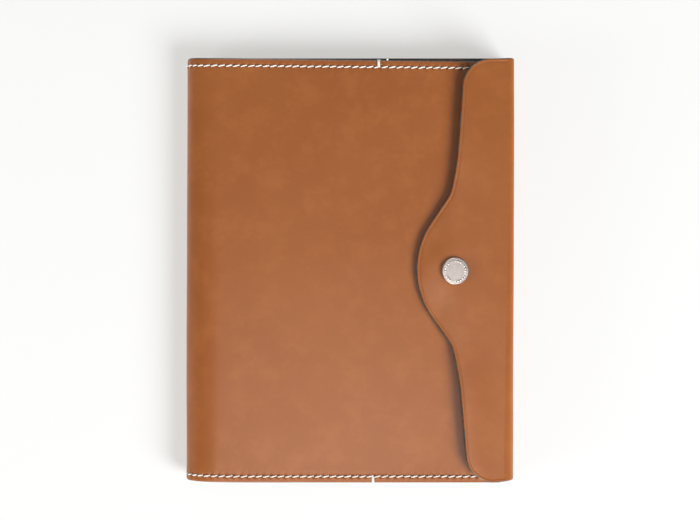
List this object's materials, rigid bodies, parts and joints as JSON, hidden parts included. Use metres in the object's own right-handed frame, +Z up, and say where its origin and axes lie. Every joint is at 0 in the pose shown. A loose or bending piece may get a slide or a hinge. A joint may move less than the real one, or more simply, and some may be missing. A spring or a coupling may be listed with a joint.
{
  "type": "leather notebook cover",
  "caption": "Slim leather notebook cover with stitched sleeves, a rounded soft spine, and a shaped fore-edge flap that closes over the front with a press stud.",
  "frame": {"origin": "on the table under the middle of the closed cover's box", "axes": "+X from the spine to the fore edge, +Y from tail to head along the longest side, +Z up out of the front cover"},
  "size_m": [0.1704, 0.22, 0.026],
  "materials": {
    "outer_leather": "smooth, fine-grained tan leather with a soft satin sheen and dark painted edges",
    "lining_leather": "matt split leather",
    "sleeve_leather": "smooth matt leather",
    "thread": "waxed off-white linen thread",
    "snap_metal": "satin nickel-plated metal",
    "spring_wire": "bright spring wire"
  },
  "bodies": {
    "back_cover": {"outer_back": "outer_leather", "lining_back": "lining_leather", "back_sleeve": "sleeve_leather", "back_top_seam": "thread", "back_bottom_seam": "thread", "back_edge_seam": "thread", "back_tacks": "thread"},
    "spine_lower": {"outer_spine_lower": "outer_leather", "lining_spine_lower": "lining_leather", "spine_lower_stitches": "thread"},
    "spine_upper": {"outer_spine_upper": "outer_leather", "lining_spine_upper": "lining_leather", "spine_upper_stitches": "thread"},
    "front_cover": {"outer_front": "outer_leather", "lining_front": "lining_leather", "front_sleeve": "sleeve_leather", "front_top_seam": "thread", "front_bottom_seam": "thread", "front_edge_seam": "thread", "front_tacks": "thread", "snap_stud": "snap_metal", "snap_post": "snap_metal"},
    "gusset": {"outer_gusset": "outer_leather"},
    "flap": {"outer_flap": "outer_leather", "snap_cap": "snap_metal", "snap_socket": "snap_metal", "snap_spring": "spring_wire"}
  },
  "joints": [
    {"name": "cover_opening", "type": "hinge", "parent": "back_cover", "child": "spine_lower", "pos_m": [-0.08044, 0, 0.00093], "axis": [0, -1, 0], "range_deg": [0, 59.8]},
    {"name": "spine_roll", "type": "hinge", "parent": "spine_lower", "child": "spine_upper", "pos_m": [-0.08567, 0, 0.01], "axis": [0, -1, 0], "range_deg": [0, 59.8]},
    {"name": "cover_fold", "type": "hinge", "parent": "spine_upper", "child": "front_cover", "pos_m": [-0.08044, 0, 0.01907], "axis": [0, -1, 0], "range_deg": [0, 59.8]},
    {"name": "gusset_fold", "type": "hinge", "parent": "back_cover", "child": "gusset", "pos_m": [0.08391, 0, 0.00129], "axis": [0, 1, 0], "range_deg": [0, 90]},
    {"name": "flap_fold", "type": "hinge", "parent": "gusset", "child": "flap", "pos_m": [0.08391, 0, 0.02311], "axis": [0, 1, 0], "range_deg": [0, 86.8]}
  ],
  "couplings": [
    {"joint": "spine_roll", "follows": "cover_opening", "ratio": 1},
    {"joint": "cover_fold", "follows": "cover_opening", "ratio": 1}
  ]
}
